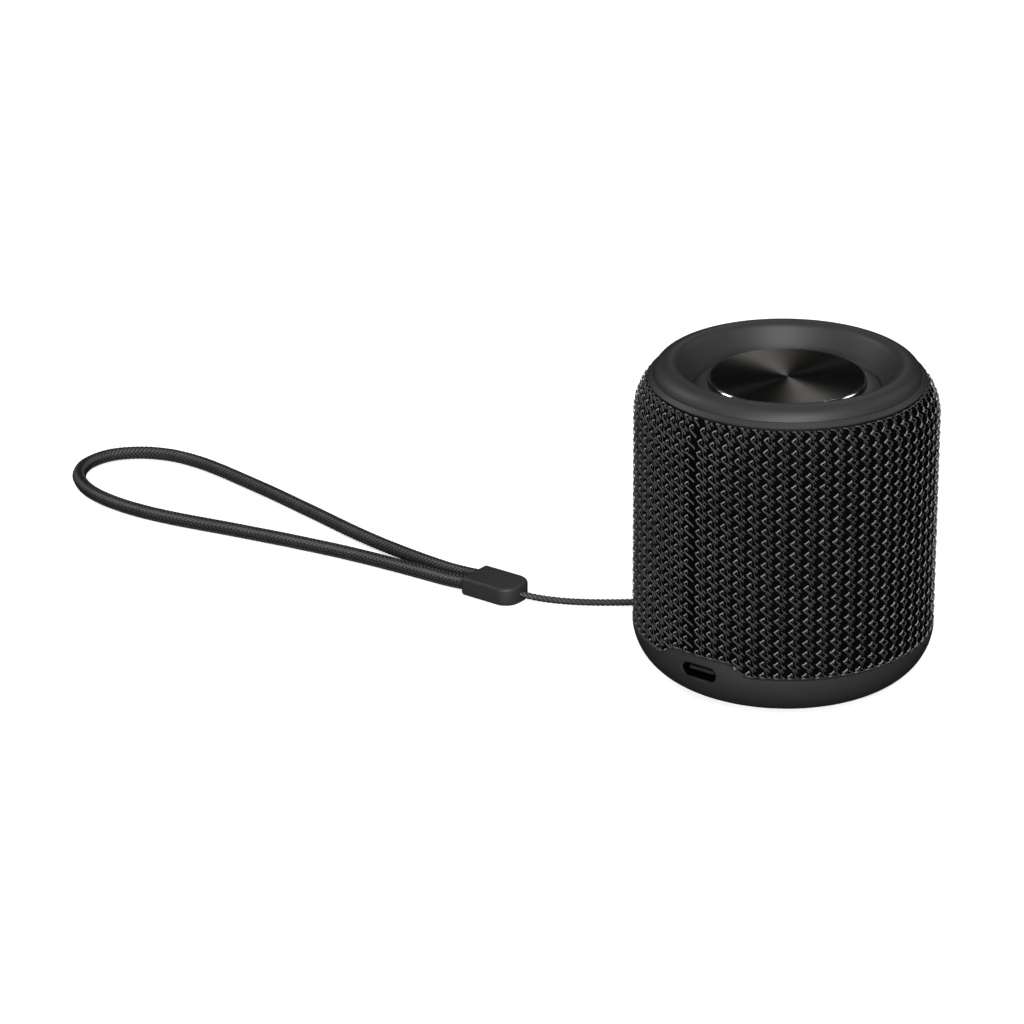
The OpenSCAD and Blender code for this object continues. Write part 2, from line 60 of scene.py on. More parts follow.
cam_data = bpy.data.cameras.new("camera")
cam_data.sensor_width = SENSOR_WIDTH
cam_data.lens = FOCAL_LENGTH
cam_data.shift_x = SHIFT_X
cam_data.clip_start, cam_data.clip_end = 0.05, 20
camera = bpy.data.objects.new("camera", cam_data)
camera.location = CAMERA_PLACE
camera.rotation_euler = (math.radians(CAMERA_TILT), 0, math.radians(CAMERA_TURN))
bpy.context.scene.collection.objects.link(camera)
bpy.context.scene.camera = camera


# ---------------------------------------------------------------- materials
def nodes_of(mat):
    mat.use_nodes = True
    tree = mat.node_tree
    return tree, tree.nodes["Principled BSDF"]


def node(tree, kind, **values):
    n = tree.nodes.new(kind)
    for key, value in values.items():
        if key in n.inputs:
            n.inputs[key].default_value = value
        else:
            setattr(n, key, value)
    return n


def mapped(tree, scale=(1, 1, 1)):
    """Object coordinates in millimetres."""
    coord = node(tree, "ShaderNodeTexCoord")
    place = node(tree, "ShaderNodeMapping")
    place.inputs["Scale"].default_value = [1000 * s for s in scale]
    tree.links.new(coord.outputs["Object"], place.inputs["Vector"])
    return place.outputs["Vector"]


def ramp(tree, fac, low, high, start=0.3, end=0.7):
    r = node(tree, "ShaderNodeValToRGB")
    r.color_ramp.elements[0].position, r.color_ramp.elements[1].position = start, end
    r.color_ramp.elements[0].color = (*low, 1)
    r.color_ramp.elements[1].color = (*high, 1)
    tree.links.new(fac, r.inputs["Fac"])
    return r.outputs["Color"]


def grey_range(tree, fac, low, high):
    m = node(tree, "ShaderNodeMapRange")
    m.inputs["To Min"].default_value, m.inputs["To Max"].default_value = low, high
    tree.links.new(fac, m.inputs["Value"])
    return m.outputs["Result"]


def noise(tree, vector, scale, detail=2.0, rough=0.5):
    n = node(tree, "ShaderNodeTexNoise", Scale=scale, Detail=detail, Roughness=rough)
    tree.links.new(vector, n.inputs["Vector"])
    return n.outputs["Fac"]


def bump(tree, height, strength, distance, previous=None):
    b = node(tree, "ShaderNodeBump", Strength=strength, Distance=distance)
    tree.links.new(height, b.inputs["Height"])
    if previous is not None:
        tree.links.new(previous, b.inputs["Normal"])
    return b.outputs["Normal"]


def surface(name, low, high, rough=(0.4, 0.55), metal=0.0, grain=4.0, blotch=0.15,
            bump_mm=0.02, bump_strength=0.3, stretch=(1, 1, 1), specular=0.5,
            sheen=0.0, coat=0.0, wave=None, voronoi=None):
    """A procedural finish. low and high are the two linear colours it varies between."""
    mat = bpy.data.materials.new(name)
    tree, shader = nodes_of(mat)
    place = mapped(tree, stretch)
    fine = noise(tree, place, grain, 3.0)
    broad = noise(tree, mapped(tree), blotch, 2.0)
    mixed = node(tree, "ShaderNodeMix", data_type="FLOAT")
    mixed.inputs["Factor"].default_value = 0.5
    tree.links.new(fine, mixed.inputs[2])
    tree.links.new(broad, mixed.inputs[3])
    fac, height = mixed.outputs[0], fine
    if wave:
        w = node(tree, "ShaderNodeTexWave", Scale=wave[0], Distortion=wave[1])
        w.wave_type, w.bands_direction = "BANDS", wave[2]
        w.inputs["Detail"].default_value = 1.0
        tree.links.new(mapped(tree), w.inputs["Vector"])
        fac = height = w.outputs["Fac"]
    if voronoi:
        v = node(tree, "ShaderNodeTexVoronoi", Scale=voronoi)
        tree.links.new(place, v.inputs["Vector"])
        fac = height = v.outputs["Distance"]
    tree.links.new(ramp(tree, fac, low, high), shader.inputs["Base Color"])
    tree.links.new(grey_range(tree, fine, *rough), shader.inputs["Roughness"])
    tree.links.new(bump(tree, height, bump_strength, bump_mm * MM), shader.inputs["Normal"])
    shader.inputs["Metallic"].default_value = metal
    shader.inputs["Specular IOR Level"].default_value = specular
    if sheen:
        shader.inputs["Sheen Weight"].default_value = sheen
        shader.inputs["Sheen Roughness"].default_value = 0.5
    if coat:
        shader.inputs["Coat Weight"].default_value = coat
        shader.inputs["Coat Roughness"].default_value = 0.15
    return mat


def g(v, warm=0.0):
    return (v * (1 + warm), v, v * (1 - warm))


MATS = {
    "ring": surface("soft_touch", g(0.026, -0.02), g(0.03, -0.02), (0.46, 0.54), grain=6,
                    bump_mm=0.012, bump_strength=0.22, specular=0.42),
    "shell": surface("shell_grain", g(0.028, -0.01), g(0.033, -0.01), (0.42, 0.5), grain=7,
                     bump_mm=0.015, bump_strength=0.25, specular=0.45),
    "connector": surface("connector_skin", g(0.027, -0.01), g(0.031, -0.01), (0.45, 0.55),
                         grain=5, bump_mm=0.015, bump_strength=0.3, specular=0.4),
    "inner": surface("inner_plastic", g(0.018), g(0.025), (0.45, 0.6), grain=3, bump_mm=0.03),
    "rubber": surface("black_rubber", g(0.014), g(0.02), (0.55, 0.7), grain=5,
                      bump_mm=0.02, specular=0.4),
    "surround": surface("surround_rubber", g(0.04), g(0.046), (0.42, 0.5), grain=4,
                        bump_mm=0.01, specular=0.5),
    "backing": surface("spacer_backing", g(0.001), g(0.0025), (0.85, 0.95), voronoi=2.2,
                       bump_mm=0.15, bump_strength=0.8, specular=0.02),
    # The stitch heads' yarn: the same yarn as yarn_dark made lighter, a painted highlight.
    "yarn_painted_highlight": surface("yarn_painted_highlight", g(0.17), g(0.3), (0.3, 0.45), grain=9,
                           stretch=(1, 1, 0.4), bump_mm=0.03, bump_strength=0.5,
                           specular=0.6, sheen=0.1),
    "yarn_dark": surface("yarn_dark", g(0.04), g(0.09), (0.38, 0.55), grain=9,
                         stretch=(1, 1, 0.4), bump_mm=0.03, bump_strength=0.5,
                         specular=0.45),
    "cord_core": surface("cord_core", g(0.006), g(0.012), (0.7, 0.85), grain=6,
                         bump_mm=0.03),
    "cord_yarn": surface("cord_yarn", g(0.006), g(0.014), (0.5, 0.65), grain=8,
                         stretch=(0.4, 1, 1), bump_mm=0.03, bump_strength=0.5, specular=0.35),
    "cord_yarn_b": surface("cord_yarn_b", g(0.045), g(0.09), (0.4, 0.55), grain=8,
                           stretch=(0.4, 1, 1), bump_mm=0.03, bump_strength=0.5, specular=0.45),
    "zinc": surface("zinc_steel", (0.45, 0.45, 0.46), (0.6, 0.6, 0.6), (0.25, 0.42), 1.0,
                    grain=3, bump_mm=0.01),
    "nickel": surface("nickel_steel", (0.38, 0.37, 0.35), (0.5, 0.49, 0.47), (0.2, 0.35), 1.0,
                      grain=5, stretch=(1, 0.15, 1), bump_mm=0.006),
    "socket": surface("black_nickel", g(0.03), g(0.06), (0.25, 0.4), 1.0, grain=5,
                      stretch=(1, 0.15, 1), bump_mm=0.006),
    "ferrite": surface("ferrite", g(0.03), g(0.06), (0.5, 0.7), 0.2, grain=4, bump_mm=0.05,
                       voronoi=3.0),
    "cone": surface("pulp_cone", g(0.014), g(0.03), (0.65, 0.85), grain=2.5, bump_mm=0.08,
                    bump_strength=0.5),
    "spider": surface("spider_cloth", (0.32, 0.2, 0.07), (0.5, 0.34, 0.14), (0.6, 0.8),
                      wave=(1.6, 0.2, "DIAGONAL"), bump_mm=0.06),
    "copper": surface("copper_wire", (0.5, 0.18, 0.06), (0.75, 0.33, 0.14), (0.22, 0.35), 1.0,
                      wave=(5.0, 0.05, "Z"), bump_mm=0.05, bump_strength=0.6),
    "brass": surface("terminal_brass", (0.6, 0.42, 0.16), (0.8, 0.6, 0.26), (0.22, 0.35), 1.0,
                     grain=4, bump_mm=0.01),
    "gold": surface("contact_gold", (0.8, 0.55, 0.2), (0.95, 0.7, 0.3), (0.18, 0.3), 1.0,
                    grain=6, bump_mm=0.005),
    "pcb": surface("solder_mask", (0.003, 0.035, 0.012), (0.008, 0.07, 0.025), (0.2, 0.35),
                   wave=(0.45, 3.0, "X"), bump_mm=0.03, coat=0.3),
    "chip": surface("chip_epoxy", g(0.012), g(0.022), (0.45, 0.6), grain=8, bump_mm=0.01),
    "wrap": surface("cell_wrap", (0.01, 0.045, 0.14), (0.016, 0.065, 0.19), (0.18, 0.3),
                    grain=0.8, bump_mm=0.05, coat=0.4),
    "foam": surface("open_foam", g(0.03), g(0.08), (0.85, 0.98), voronoi=1.8, bump_mm=0.3,
                    bump_strength=0.9, specular=0.1),
    "wire": surface("wire_skin", (0.3, 0.006, 0.006), (0.4, 0.012, 0.01), (0.3, 0.42),
                    grain=2, bump_mm=0.01),
    "film": surface("polyimide", (0.26, 0.1, 0.015), (0.42, 0.17, 0.03), (0.2, 0.32),
                    wave=(0.7, 0.0, "X"), bump_mm=0.02, coat=0.3),
}


def spun_metal(name, low, high, rough, anisotropic):
    """Turned metal: rings of fine grooves round Z, with the highlight drawn across them."""
    mat = bpy.data.materials.new(name)
    tree, shader = nodes_of(mat)
    coord = node(tree, "ShaderNodeTexCoord")
    split = node(tree, "ShaderNodeSeparateXYZ")
    tree.links.new(coord.outputs["Object"], split.inputs[0])
    flat = node(tree, "ShaderNodeCombineXYZ")
    for axis in "XY":
        tree.links.new(split.outputs[axis], flat.inputs[axis])
    length = node(tree, "ShaderNodeVectorMath", operation="LENGTH")
    tree.links.new(flat.outputs[0], length.inputs[0])
    radius = node(tree, "ShaderNodeCombineXYZ")
    tree.links.new(length.outputs["Value"], radius.inputs["X"])
    fine = noise(tree, radius.outputs[0], 9000, 3.0, 0.7)
    broad = noise(tree, radius.outputs[0], 1600, 2.0, 0.6)
    tree.links.new(ramp(tree, fine, low, high, 0.25, 0.75), shader.inputs["Base Color"])
    tree.links.new(grey_range(tree, broad, *rough), shader.inputs["Roughness"])
    tree.links.new(bump(tree, fine, 0.25, 0.004 * MM), shader.inputs["Normal"])
    shader.inputs["Metallic"].default_value = 1.0
    shader.inputs["Anisotropic"].default_value = anisotropic
    shader.inputs["Anisotropic Rotation"].default_value = 0.25
    tangent = node(tree, "ShaderNodeTangent")
    tangent.direction_type, tangent.axis = "RADIAL", "Z"
    tree.links.new(tangent.outputs[0], shader.inputs["Tangent"])
    return mat


MATS["plate"] = spun_metal("spun_plate", g(0.05, 0.05), g(0.1, 0.06), (0.24, 0.36), 0.9)
MATS["bevel"] = spun_metal("cut_bevel", g(0.45), g(0.6), (0.12, 0.2), 0.4)


# ---------------------------------------------------------------- mesh helpers
def add(name, verts, faces, mats, body="root", slot=None, stands_for=(), angle=35,
        recalc=True, face_mats=None, ride=True):
    """A mesh piece from points in millimetres."""
    me = bpy.data.meshes.new(name)
    me.from_pydata([(x * MM, y * MM, z * MM) for x, y, z in verts], [], faces)
    if recalc:
        bm = bmesh.new()
        bm.from_mesh(me)
        bmesh.ops.recalc_face_normals(bm, faces=bm.faces)
        bm.to_mesh(me)
        bm.free()
    for m in mats if isinstance(mats, (list, tuple)) else [mats]:
        me.materials.append(m)
    if face_mats:
        me.polygons.foreach_set("material_index", face_mats)
    me.polygons.foreach_set("use_smooth", [True] * len(me.polygons))
    if angle:
        me.set_sharp_from_angle(angle=math.radians(angle))
    me.update()
    o = bpy.data.objects.new(name, me)
    bpy.context.scene.collection.objects.link(o)
    if ride:
        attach(o, body)
    if stands_for:
        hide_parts(*stands_for)
    return o


def arc(cx, cy, rx, ry, a0, a1, n):
    return [(cx + rx * math.cos(math.radians(a0 + (a1 - a0) * i / n)),
             cy + ry * math.sin(math.radians(a0 + (a1 - a0) * i / n))) for i in range(n + 1)]


def lathe(profile, n=180, closed=True):
    """Points and faces of a profile (r, z) turned about Z. Ends on the axis become poles."""
    verts, rings = [], []
    for r, z in profile:
        if r < 1e-6:
            rings.append([len(verts)])
            verts.append((0, 0, z))
        else:
            rings.append(list(range(len(verts), len(verts) + n)))
            verts += [(r * math.cos(TAU * k / n), r * math.sin(TAU * k / n), z)
                      for k in range(n)]
    pairs = list(zip(rings, rings[1:])) + ([(rings[-1], rings[0])] if closed else [])
    faces = []
    for a, b in pairs:
        for k in range(n):
            j = (k + 1) % n
            if len(a) == 1 and len(b) == 1:
                continue
            if len(a) == 1:
                faces.append((a[0], b[k], b[j]))
            elif len(b) == 1:
                faces.append((a[k], b[0], a[j]))
            else:
                faces.append((a[k], b[k], b[j], a[j]))
    return verts, faces


def smooth_route(points, per=10):
    """Catmull-Rom points through a route."""
    p = [Vector(q) for q in points]
    p = [2 * p[0] - p[1]] + p + [2 * p[-1] - p[-2]]
    out = []
    for i in range(1, len(p) - 2):
        a, b, c, d = p[i - 1:i + 3]
        for k in range(per):
            t = k / per
            out.append(0.5 * ((2 * b) + (c - a) * t + (2 * a - 5 * b + 4 * c - d) * t * t
                              + (3 * b - a - 3 * c + d) * t ** 3))
    out.append(p[-2])
    return out


def even(points, gap):
    """The same line at even distances."""
    out, carry = [points[0]], 0.0
    for a, b in zip(points, points[1:]):
        length = (b - a).length
        while carry + length >= gap:
            t = (gap - carry) / length
            a = a.lerp(b, t)
            out.append(a)
            length = (b - a).length
            carry = 0.0
        carry += length
    return out


def frames(line):
    """A normal and a binormal at each point, carried along without twist."""
    n = len(line)
    tangents = [(line[min(i + 1, n - 1)] - line[max(i - 1, 0)]).normalized()
                for i in range(n)]
    side = tangents[0].cross(Vector((0, 0, 1))).normalized()
    out = []
    for t in tangents:
        side = (side - t * side.dot(t)).normalized()
        out.append((side, t.cross(side)))
    return tangents, out


class Tubes:
    """Collects thin strands with an oval section into one mesh."""

    def __init__(self):
        self.verts, self.faces = [], []

    def strand(self, points, outs, width, thick, sides=4, cap=False):
        n, base = len(points), len(self.verts)
        for i, (p, up) in enumerate(zip(points, outs)):
            t = points[min(i + 1, n - 1)] - points[max(i - 1, 0)]
            across = t.cross(up).normalized()
            lift = across.cross(t).normalized()
            for k in range(sides):
                a = TAU * (k + 0.5) / sides
                self.verts.append(tuple(p + across * (math.cos(a) * width / 2)
                                        + lift * (math.sin(a) * thick / 2)))
        for i in range(n - 1):
            for k in range(sides):
                j = (k + 1) % sides
                a, b = base + i * sides, base + (i + 1) * sides
                self.faces.append((a + k, a + j, b + j, b + k))
        if cap:
            self.faces.append(tuple(base + k for k in range(sides))[::-1])
            self.faces.append(tuple(base + (n - 1) * sides + k for k in range(sides)))


# ---------------------------------------------------------------- cords
CORD_D, LOOP_D = 1.5, 3.3
# In the connector: height of the cords, and distance of the loop's ends from its middle
STRAND_Z, STRAND_DY = 2.2, 2.5
CORD_ROUTE = [
    (0, 28.6, 5), (0, 32, 5), (0, 35, 4.9), (-0.8, 38, 4.4), (-2.8, 40.2, 3.6), (-6, 41, 2.6),
    (-10, 40.2, 1.6), (-14, 38.2, 1), (-18, 35.2, 0.8), (-22, 31.8, 0.8), (-26, 28, 0.8),
    (-29.5, 24, 0.8), (-33, 19.8, 0.8), (-37, 15, 0.8), (-41.2, 10.6, 0.8), (-46, 6.3, 0.8),
    (-50, 3.2, 0.8), (-54, 0.4, 0.8), (-58, -2.2, 0.9), (-61.2, -4.3, 1.2), (-63.8, -6.2, 1.7),
    (-66, -7.4, 2.1), (-67.8, -7.7, 2.2), (-70, -7.7, 2.2)]
FLAT = LOOP_D / 2    # height of the loop's middle where it lies on the table
LOOP_ROUTE = [
    (-80, -10.2, 2.2), (-82.2, -10.2, 2.2), (-88, -10.3, 1.8)] + [(x, y, FLAT) for x, y in (
        (-96, -10.4), (-104, -10.8), (-112, -11.4), (-119.5, -12.2), (-127, -13.3),
        (-134.5, -14.5), (-142, -15.9), (-150, -17.4), (-158, -19.1), (-165.5, -20.5),
        (-173, -21.4), (-181, -21.5), (-189, -20.4), (-196, -17.8), (-202, -13), (-205.3, -6),
        (-204.2, 1.5), (-199, 7.2), (-192, 10.2), (-184, 10.8), (-176.5, 10.1), (-169, 8.8),
        (-161, 7.3), (-153.5, 5.8), (-146, 4.1), (-138, 2.3), (-130.5, 0.5), (-123, -1.2),
        (-115, -2.7), (-107.5, -3.8), (-100, -4.6), (-92, -5.1))] + [
    (-86, -5.2, 1.9), (-82.2, -5.2, 2.2), (-80, -5.2, 2.2)]


def core_curve(name, route, radius, mat, node_name):
    """The dark core of a cord, which stands for its CAD node. Returns its line and length."""
    line = smooth_route(route, 8)
    data = bpy.data.curves.new(name, "CURVE")
    data.dimensions = "3D"
    spline = data.splines.new("POLY")
    spline.points.add(len(line) - 1)
    for p, q in zip(spline.points, line):
        p.co = (*(q * MM), 1)
    data.bevel_depth = radius * MM
    data.bevel_resolution = 3
    data.use_fill_caps = True
    data.materials.append(mat)
    o = bpy.data.objects.new(name, data)
    bpy.context.scene.collection.objects.link(o)
    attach(o, "root")
    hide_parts(node_name)
    length = sum((b - a).length for a, b in zip(line, line[1:])) * MM
    return o, line, length


def braid(name, line, radius, carriers, lead, gap, width, thick, mats, sides=4):
    """Two sets of yarns wound opposite ways over and under each other, two by two."""
    pts = even(line, gap)
    _, sides_of = frames(pts)
    m = carriers // 2
    alpha, omega = TAU / m, TAU / lead
    swing = thick * 0.42
    made = []
    for turn, label, mat in ((1, "right", mats[0]), (-1, "left", mats[1])):
        tubes = Tubes()
        for k in range(m):
            points, outs = [], []
            for i, p in enumerate(pts):
                s = i * gap
                angle = turn * omega * s + alpha * k
                c = 2 * omega * s / alpha
                phase = c + 2 * k if turn == 1 else 2 * k - c
                lift = turn * swing * math.cos(TAU * (phase - 0.5 * turn) / 4)
                a, b = sides_of[i]
                out = a * math.cos(angle) + b * math.sin(angle)
                points.append(p + out * (radius - thick * 0.62 + lift))
                outs.append(out)
            tubes.strand(points, outs, width, thick, sides, True)
        made.append(add(f"{name}_{label}", tubes.verts, tubes.faces, mat, angle=0,
                        recalc=False, slot="braid"))
    return made


thin_core, thin_line, thin_length = core_curve(
    "thin_cord_core", CORD_ROUTE, CORD_D / 2 - 0.2, MATS["cord_core"], "thin_cord")
loop_core, loop_line, loop_length = core_curve(
    "wrist_loop_core", LOOP_ROUTE, LOOP_D / 2 - 0.24, MATS["cord_core"],
    "wrist_loop")
thin_braid = braid("thin_cord_braid", thin_line, CORD_D / 2, 8, 4.6, 0.15, 0.62, 0.3,
                   (MATS["cord_yarn_b"], MATS["cord_yarn"]), 6)
loop_braid = braid("wrist_loop_braid", loop_line, LOOP_D / 2, 16, 8.6, 0.21, 0.74, 0.34,
                   (MATS["cord_yarn"], MATS["cord_yarn_b"]), 4)

# The connector: a flat moulding with rounded edges
SLIDER_X, SLIDER_Y, SLIDER_L, SLIDER_W, SLIDER_H = -67.8, -7.7, 14.4, 9.8, 4.5
EDGE, NOSE_R, CORNER_R = 0.75, 4, 0.8
LOOP_HOLE_X, CORD_HOLE_X = (-84, -79), (-70, -66)
LOOP_HOLE_GAP, CORD_HOLE_GAP = 0.05, 0.1


def connector_outline(inset):
    """The connector's outline from above, drawn in by inset."""
    w, nose = SLIDER_W / 2 - inset, NOSE_R - inset
    corner = max(CORNER_R - inset, 0.05)
    x0, x1 = SLIDER_X - SLIDER_L + inset, SLIDER_X - inset
    points = arc(x1 - nose, -w + nose, nose, nose, -90, 0, 20)
    points += arc(x1 - nose, w - nose, nose, nose, 0, 90, 20)
    points += arc(x0 + corner, w - corner, corner, corner, 90, 180, 5)
    points += arc(x0 + corner, -w + corner, corner, corner, 180, 270, 5)
    return [(x, y + SLIDER_Y) for x, y in points]


def loft(levels):
    """A closed solid through outlines (points, height)."""
    verts, faces, n = [], [], len(levels[0][0])
    for outline, z in levels:
        verts += [(x, y, z) for x, y in outline]
    for i in range(len(levels) - 1):
        for k in range(n):
            j = (k + 1) % n
            faces.append((i * n + k, i * n + j, (i + 1) * n + j, (i + 1) * n + k))
    faces.append(tuple(range(n))[::-1])
    faces.append(tuple((len(levels) - 1) * n + k for k in range(n)))
    return verts, faces


def cut(piece, verts, faces):
    """Takes a closed shape out of a piece."""
    me = bpy.data.meshes.new("cutter")
    me.from_pydata([(x * MM, y * MM, z * MM) for x, y, z in verts], [], faces)
    bm = bmesh.new()
    bm.from_mesh(me)
    bmesh.ops.recalc_face_normals(bm, faces=bm.faces)
    bm.to_mesh(me)
    bm.free()
    cutter = bpy.data.objects.new("cutter", me)
    bpy.context.scene.collection.objects.link(cutter)
    mod = piece.modifiers.new("cut", "BOOLEAN")
    mod.operation, mod.solver, mod.object = "DIFFERENCE", "EXACT", cutter
    dg = bpy.context.evaluated_depsgraph_get()
    result = bpy.data.meshes.new_from_object(piece.evaluated_get(dg))
    piece.modifiers.clear()
    piece.data = result
    bpy.data.objects.remove(cutter)
    result.polygons.foreach_set("use_smooth", [True] * len(result.polygons))
    result.set_sharp_from_angle(angle=math.radians(35))


def rod_x(x0, x1, y, z, r, n=32):
    """A closed rod along X."""
    ring = [(y + r * math.cos(TAU * k / n), z + r * math.sin(TAU * k / n)) for k in range(n)]
    verts, faces = loft([(ring, x0), (ring, x1)])
    return [(x, a, b) for a, b, x in verts], faces


levels = [(connector_outline(EDGE * (1 - math.cos(math.radians(a)))),
           EDGE * (1 - math.sin(math.radians(a)))) for a in range(90, -1, -15)]
levels += [(o, SLIDER_H - z) for o, z in levels[::-1]]
connector = add("connector_body", *loft(levels), MATS["connector"],
                slot="connector_plastic", stands_for=("strap_connector",))
for dy in (-STRAND_DY, STRAND_DY):
    cut(connector, *rod_x(*LOOP_HOLE_X, SLIDER_Y + dy, STRAND_Z, LOOP_D / 2 + LOOP_HOLE_GAP))
cut(connector, *rod_x(*CORD_HOLE_X, SLIDER_Y, STRAND_Z, CORD_D / 2 + CORD_HOLE_GAP))

# ---------------------------------------------------------------- fabric sleeve
BODY_R, ROUND_R, EDGE_R = 34.0, 22.0, 12.0
LOW_Z, HIGH_Z, HEM_Z, CUFF_Z = 12.4, 61.8, 11.4, 69.4
HUMP_H, HUMP_FOOT, HUMP_CREST = 2.8, 12.5, 6.0
KEY_Z, KEY_HALF_STRAIGHT, KEY_HALF_WIDTH = 49.6, 7.0, 5.0
GROUND_DEPTH = 0.72    # of the backing below the outline


def outline_at(s, inset):
    """Radius and height at a distance s (mm) up the sleeve from the lower rounded edge's
    centre height, on a surface that lies inset below the outline, and its outward angle."""
    r = EDGE_R - inset
    if s < 0:
        a = s / EDGE_R
        return ROUND_R + r * math.cos(a), LOW_Z + r * math.sin(a), a
    if s < HIGH_Z - LOW_Z:
        return BODY_R - inset, LOW_Z + s, 0.0
    a = (s - (HIGH_Z - LOW_Z)) / EDGE_R
    return ROUND_R + r * math.cos(a), HIGH_Z + r * math.sin(a), a


def hem_at(x, front):
    """Height of the shell's edge at a place across the front."""
    if not front:
        return HEM_Z
    t = min(1, max(0, (abs(x) - HUMP_CREST) / (HUMP_FOOT - HUMP_CREST)))
    return HEM_Z + HUMP_H * (1 + math.cos(math.pi * t)) / 2


S_LOW = EDGE_R * math.asin((HEM_Z - LOW_Z) / EDGE_R)
S_TOP = HIGH_Z - LOW_Z + EDGE_R * math.asin((CUFF_Z - HIGH_Z) / EDGE_R)
COLUMNS, ROW = 68, 2.62
SEAM = 67              # the column with no half stitches, a dark line above the socket
FIRST_COLUMN = 0.35    # how far before the middle of the front the first column starts
JITTER = 0.02
PITCH = TAU * BODY_R / COLUMNS


def on_body(u, s, inset):
    """Point at u (round from the middle of the front) and s (up), with its way out.
    Below the hem and above the cuff the surface tucks in behind the shell and the ring."""
    theta = u / BODY_R
    x, y = math.sin(theta), -math.cos(theta)
    hem = hem_at(x * BODY_R, y < 0)
    s_hem = EDGE_R * math.asin((hem - LOW_Z) / EDGE_R) if hem < LOW_Z else hem - LOW_Z
    tuck = 0.0
    if s < s_hem + 0.45:
        tuck = min(0.85, (s_hem + 0.45 - s) * 0.7)
        s = max(s, s_hem + 0.12)
    if s > S_TOP - 0.3:
        tuck = min(0.8, (s - S_TOP + 0.3) * 1.0)
        s = min(s, S_TOP - 0.1)
    r, z, a = outline_at(s, inset + tuck)
    return (Vector((r * x, r * y, z)),
            Vector((x * math.cos(a), y * math.cos(a), math.sin(a))))


def in_keys(u, s):
    """True inside the opening for the keys' bezel."""
    theta = u / BODY_R
    if math.cos(theta) > 0:
        return False
    x, z = math.sin(theta) * BODY_R, LOW_Z + s
    dz = max(0, abs(z - KEY_Z) - KEY_HALF_STRAIGHT)
    return math.hypot(x, dz) < KEY_HALF_WIDTH


rnd = random.Random(7)
loops, turns, long_a, long_b, half_a, half_b = (Tubes() for _ in range(6))
ROWS = int((S_TOP - S_LOW) / ROW) + 2


def lay(tubes, u0, s0, path, width, thick, sides=4, per=3):
    """A strand through points (u, s, depth) of one stitch, in parts of a stitch."""
    pts = smooth_route([(a * PITCH, b * ROW, d) for a, b, d in path], per)
    points, outs = [], []
    for p in pts:
        if in_keys(u0 + p.x, s0 + p.y):
            return
        q, out = on_body(u0 + p.x, s0 + p.y, p.z)
        points.append(q)
        outs.append(out)
    tubes.strand(points, outs, width, thick, sides)


for column in range(COLUMNS):
    for row in range(-1, ROWS):
        u0 = (column - FIRST_COLUMN) * PITCH
        s0 = S_LOW + row * ROW
        if s0 > S_TOP or s0 + ROW < S_LOW - 0.5:
            continue
        j = [rnd.uniform(-JITTER, JITTER) for _ in range(6)]
        # the stitch head, a short loop leaning to the right, in a lighter copy of the yarn that
        # is a painted highlight
        lay(loops, u0, s0, [(0.04 + j[0], 0.42, 0.36), (0.11, 0.48 + j[1], 0.12),
                            (0.25, 0.62 + j[2], 0.08), (0.33 + j[3], 0.69, 0.22)],
            0.28, 0.24, 5, 3)
        # its turn, from the head's top down under the next strands
        lay(turns, u0, s0, [(0.33, 0.69, 0.24), (0.37, 0.58, 0.18), (0.35, 0.42, 0.34),
                            (0.31, 0.32, 0.5)], 0.17, 0.16, 4, 2)
        # two strands that run down towards the next column and dip into the ground
        for off, strands in ((0.0, long_a), (0.10, long_b)):
            lay(strands, u0, s0 + off * ROW,
                [(0.02, 0.38, 0.36), (0.10, 0.31, 0.16), (0.24 + j[4], 0.17, 0.1),
                 (0.36, 0.04 + j[5], 0.24), (0.56, -0.14, 0.48), (0.76, -0.36, 0.74)],
                0.17 if off else 0.14, 0.15, 4, 2)
        if column == SEAM:
            continue
        # the fainter half stitch between the columns, with strands of its own
        lay(half_a, u0, s0, [(0.52, -0.10, 0.6), (0.60, 0.02, 0.34), (0.71, 0.19, 0.28),
                             (0.79, 0.31, 0.42)], 0.2, 0.18, 4, 2)
        lay(half_b, u0, s0, [(0.77, 0.28, 0.45), (0.81, 0.14, 0.36), (0.78, -0.04, 0.55)],
            0.15, 0.14, 4, 2)
        lay(half_a, u0, s0, [(0.53, 0.45, 0.6), (0.64, 0.33, 0.3), (0.80, 0.16, 0.34),
                             (0.94, 0.02, 0.75)], 0.15, 0.15, 4, 2)
        lay(half_b, u0, s0, [(0.38, 0.92, 0.5), (0.50, 0.76, 0.34), (0.60, 0.56, 0.5)],
            0.15, 0.14, 4, 2)

for name, tubes in (("heads", loops), ("turns", turns), ("links_a", long_a),
                    ("links_b", long_b), ("half_stitches_a", half_a),
                    ("half_stitches_b", half_b)):
    # The heads get the lighter copy of the yarn, a painted highlight; the other strands get the
    # plain yarn.
    mat = MATS["yarn_painted_highlight" if tubes is loops else "yarn_dark"]
    add(f"knit_{name}", tubes.verts, tubes.faces, mat, angle=0, recalc=False,
                    slot="knit_fabric")


def sleeve_backing():
    """The fabric's ground: one sheet just below the stitches, open at the keys."""
    n, m, verts, faces = 384, 78, [], []
    for i in range(m + 1):
        s = S_LOW + (S_TOP - S_LOW) * i / m
        for k in range(n):
            p, _ = on_body(TAU * BODY_R * k / n, s, GROUND_DEPTH)
            verts.append(tuple(p))
    for i in range(m):
        for k in range(n):
            j = (k + 1) % n
            u, s = TAU * BODY_R * (k + 0.5) / n, S_LOW + (S_TOP - S_LOW) * (i + 0.5) / m
            if not in_keys(u, s):
                faces.append((i * n + k, i * n + j, (i + 1) * n + j, (i + 1) * n + k))
    return add("sleeve_ground", verts, faces, MATS["backing"], angle=0, recalc=False,
               slot="knit_fabric", stands_for=("fabric_sleeve",))


ground = sleeve_backing()

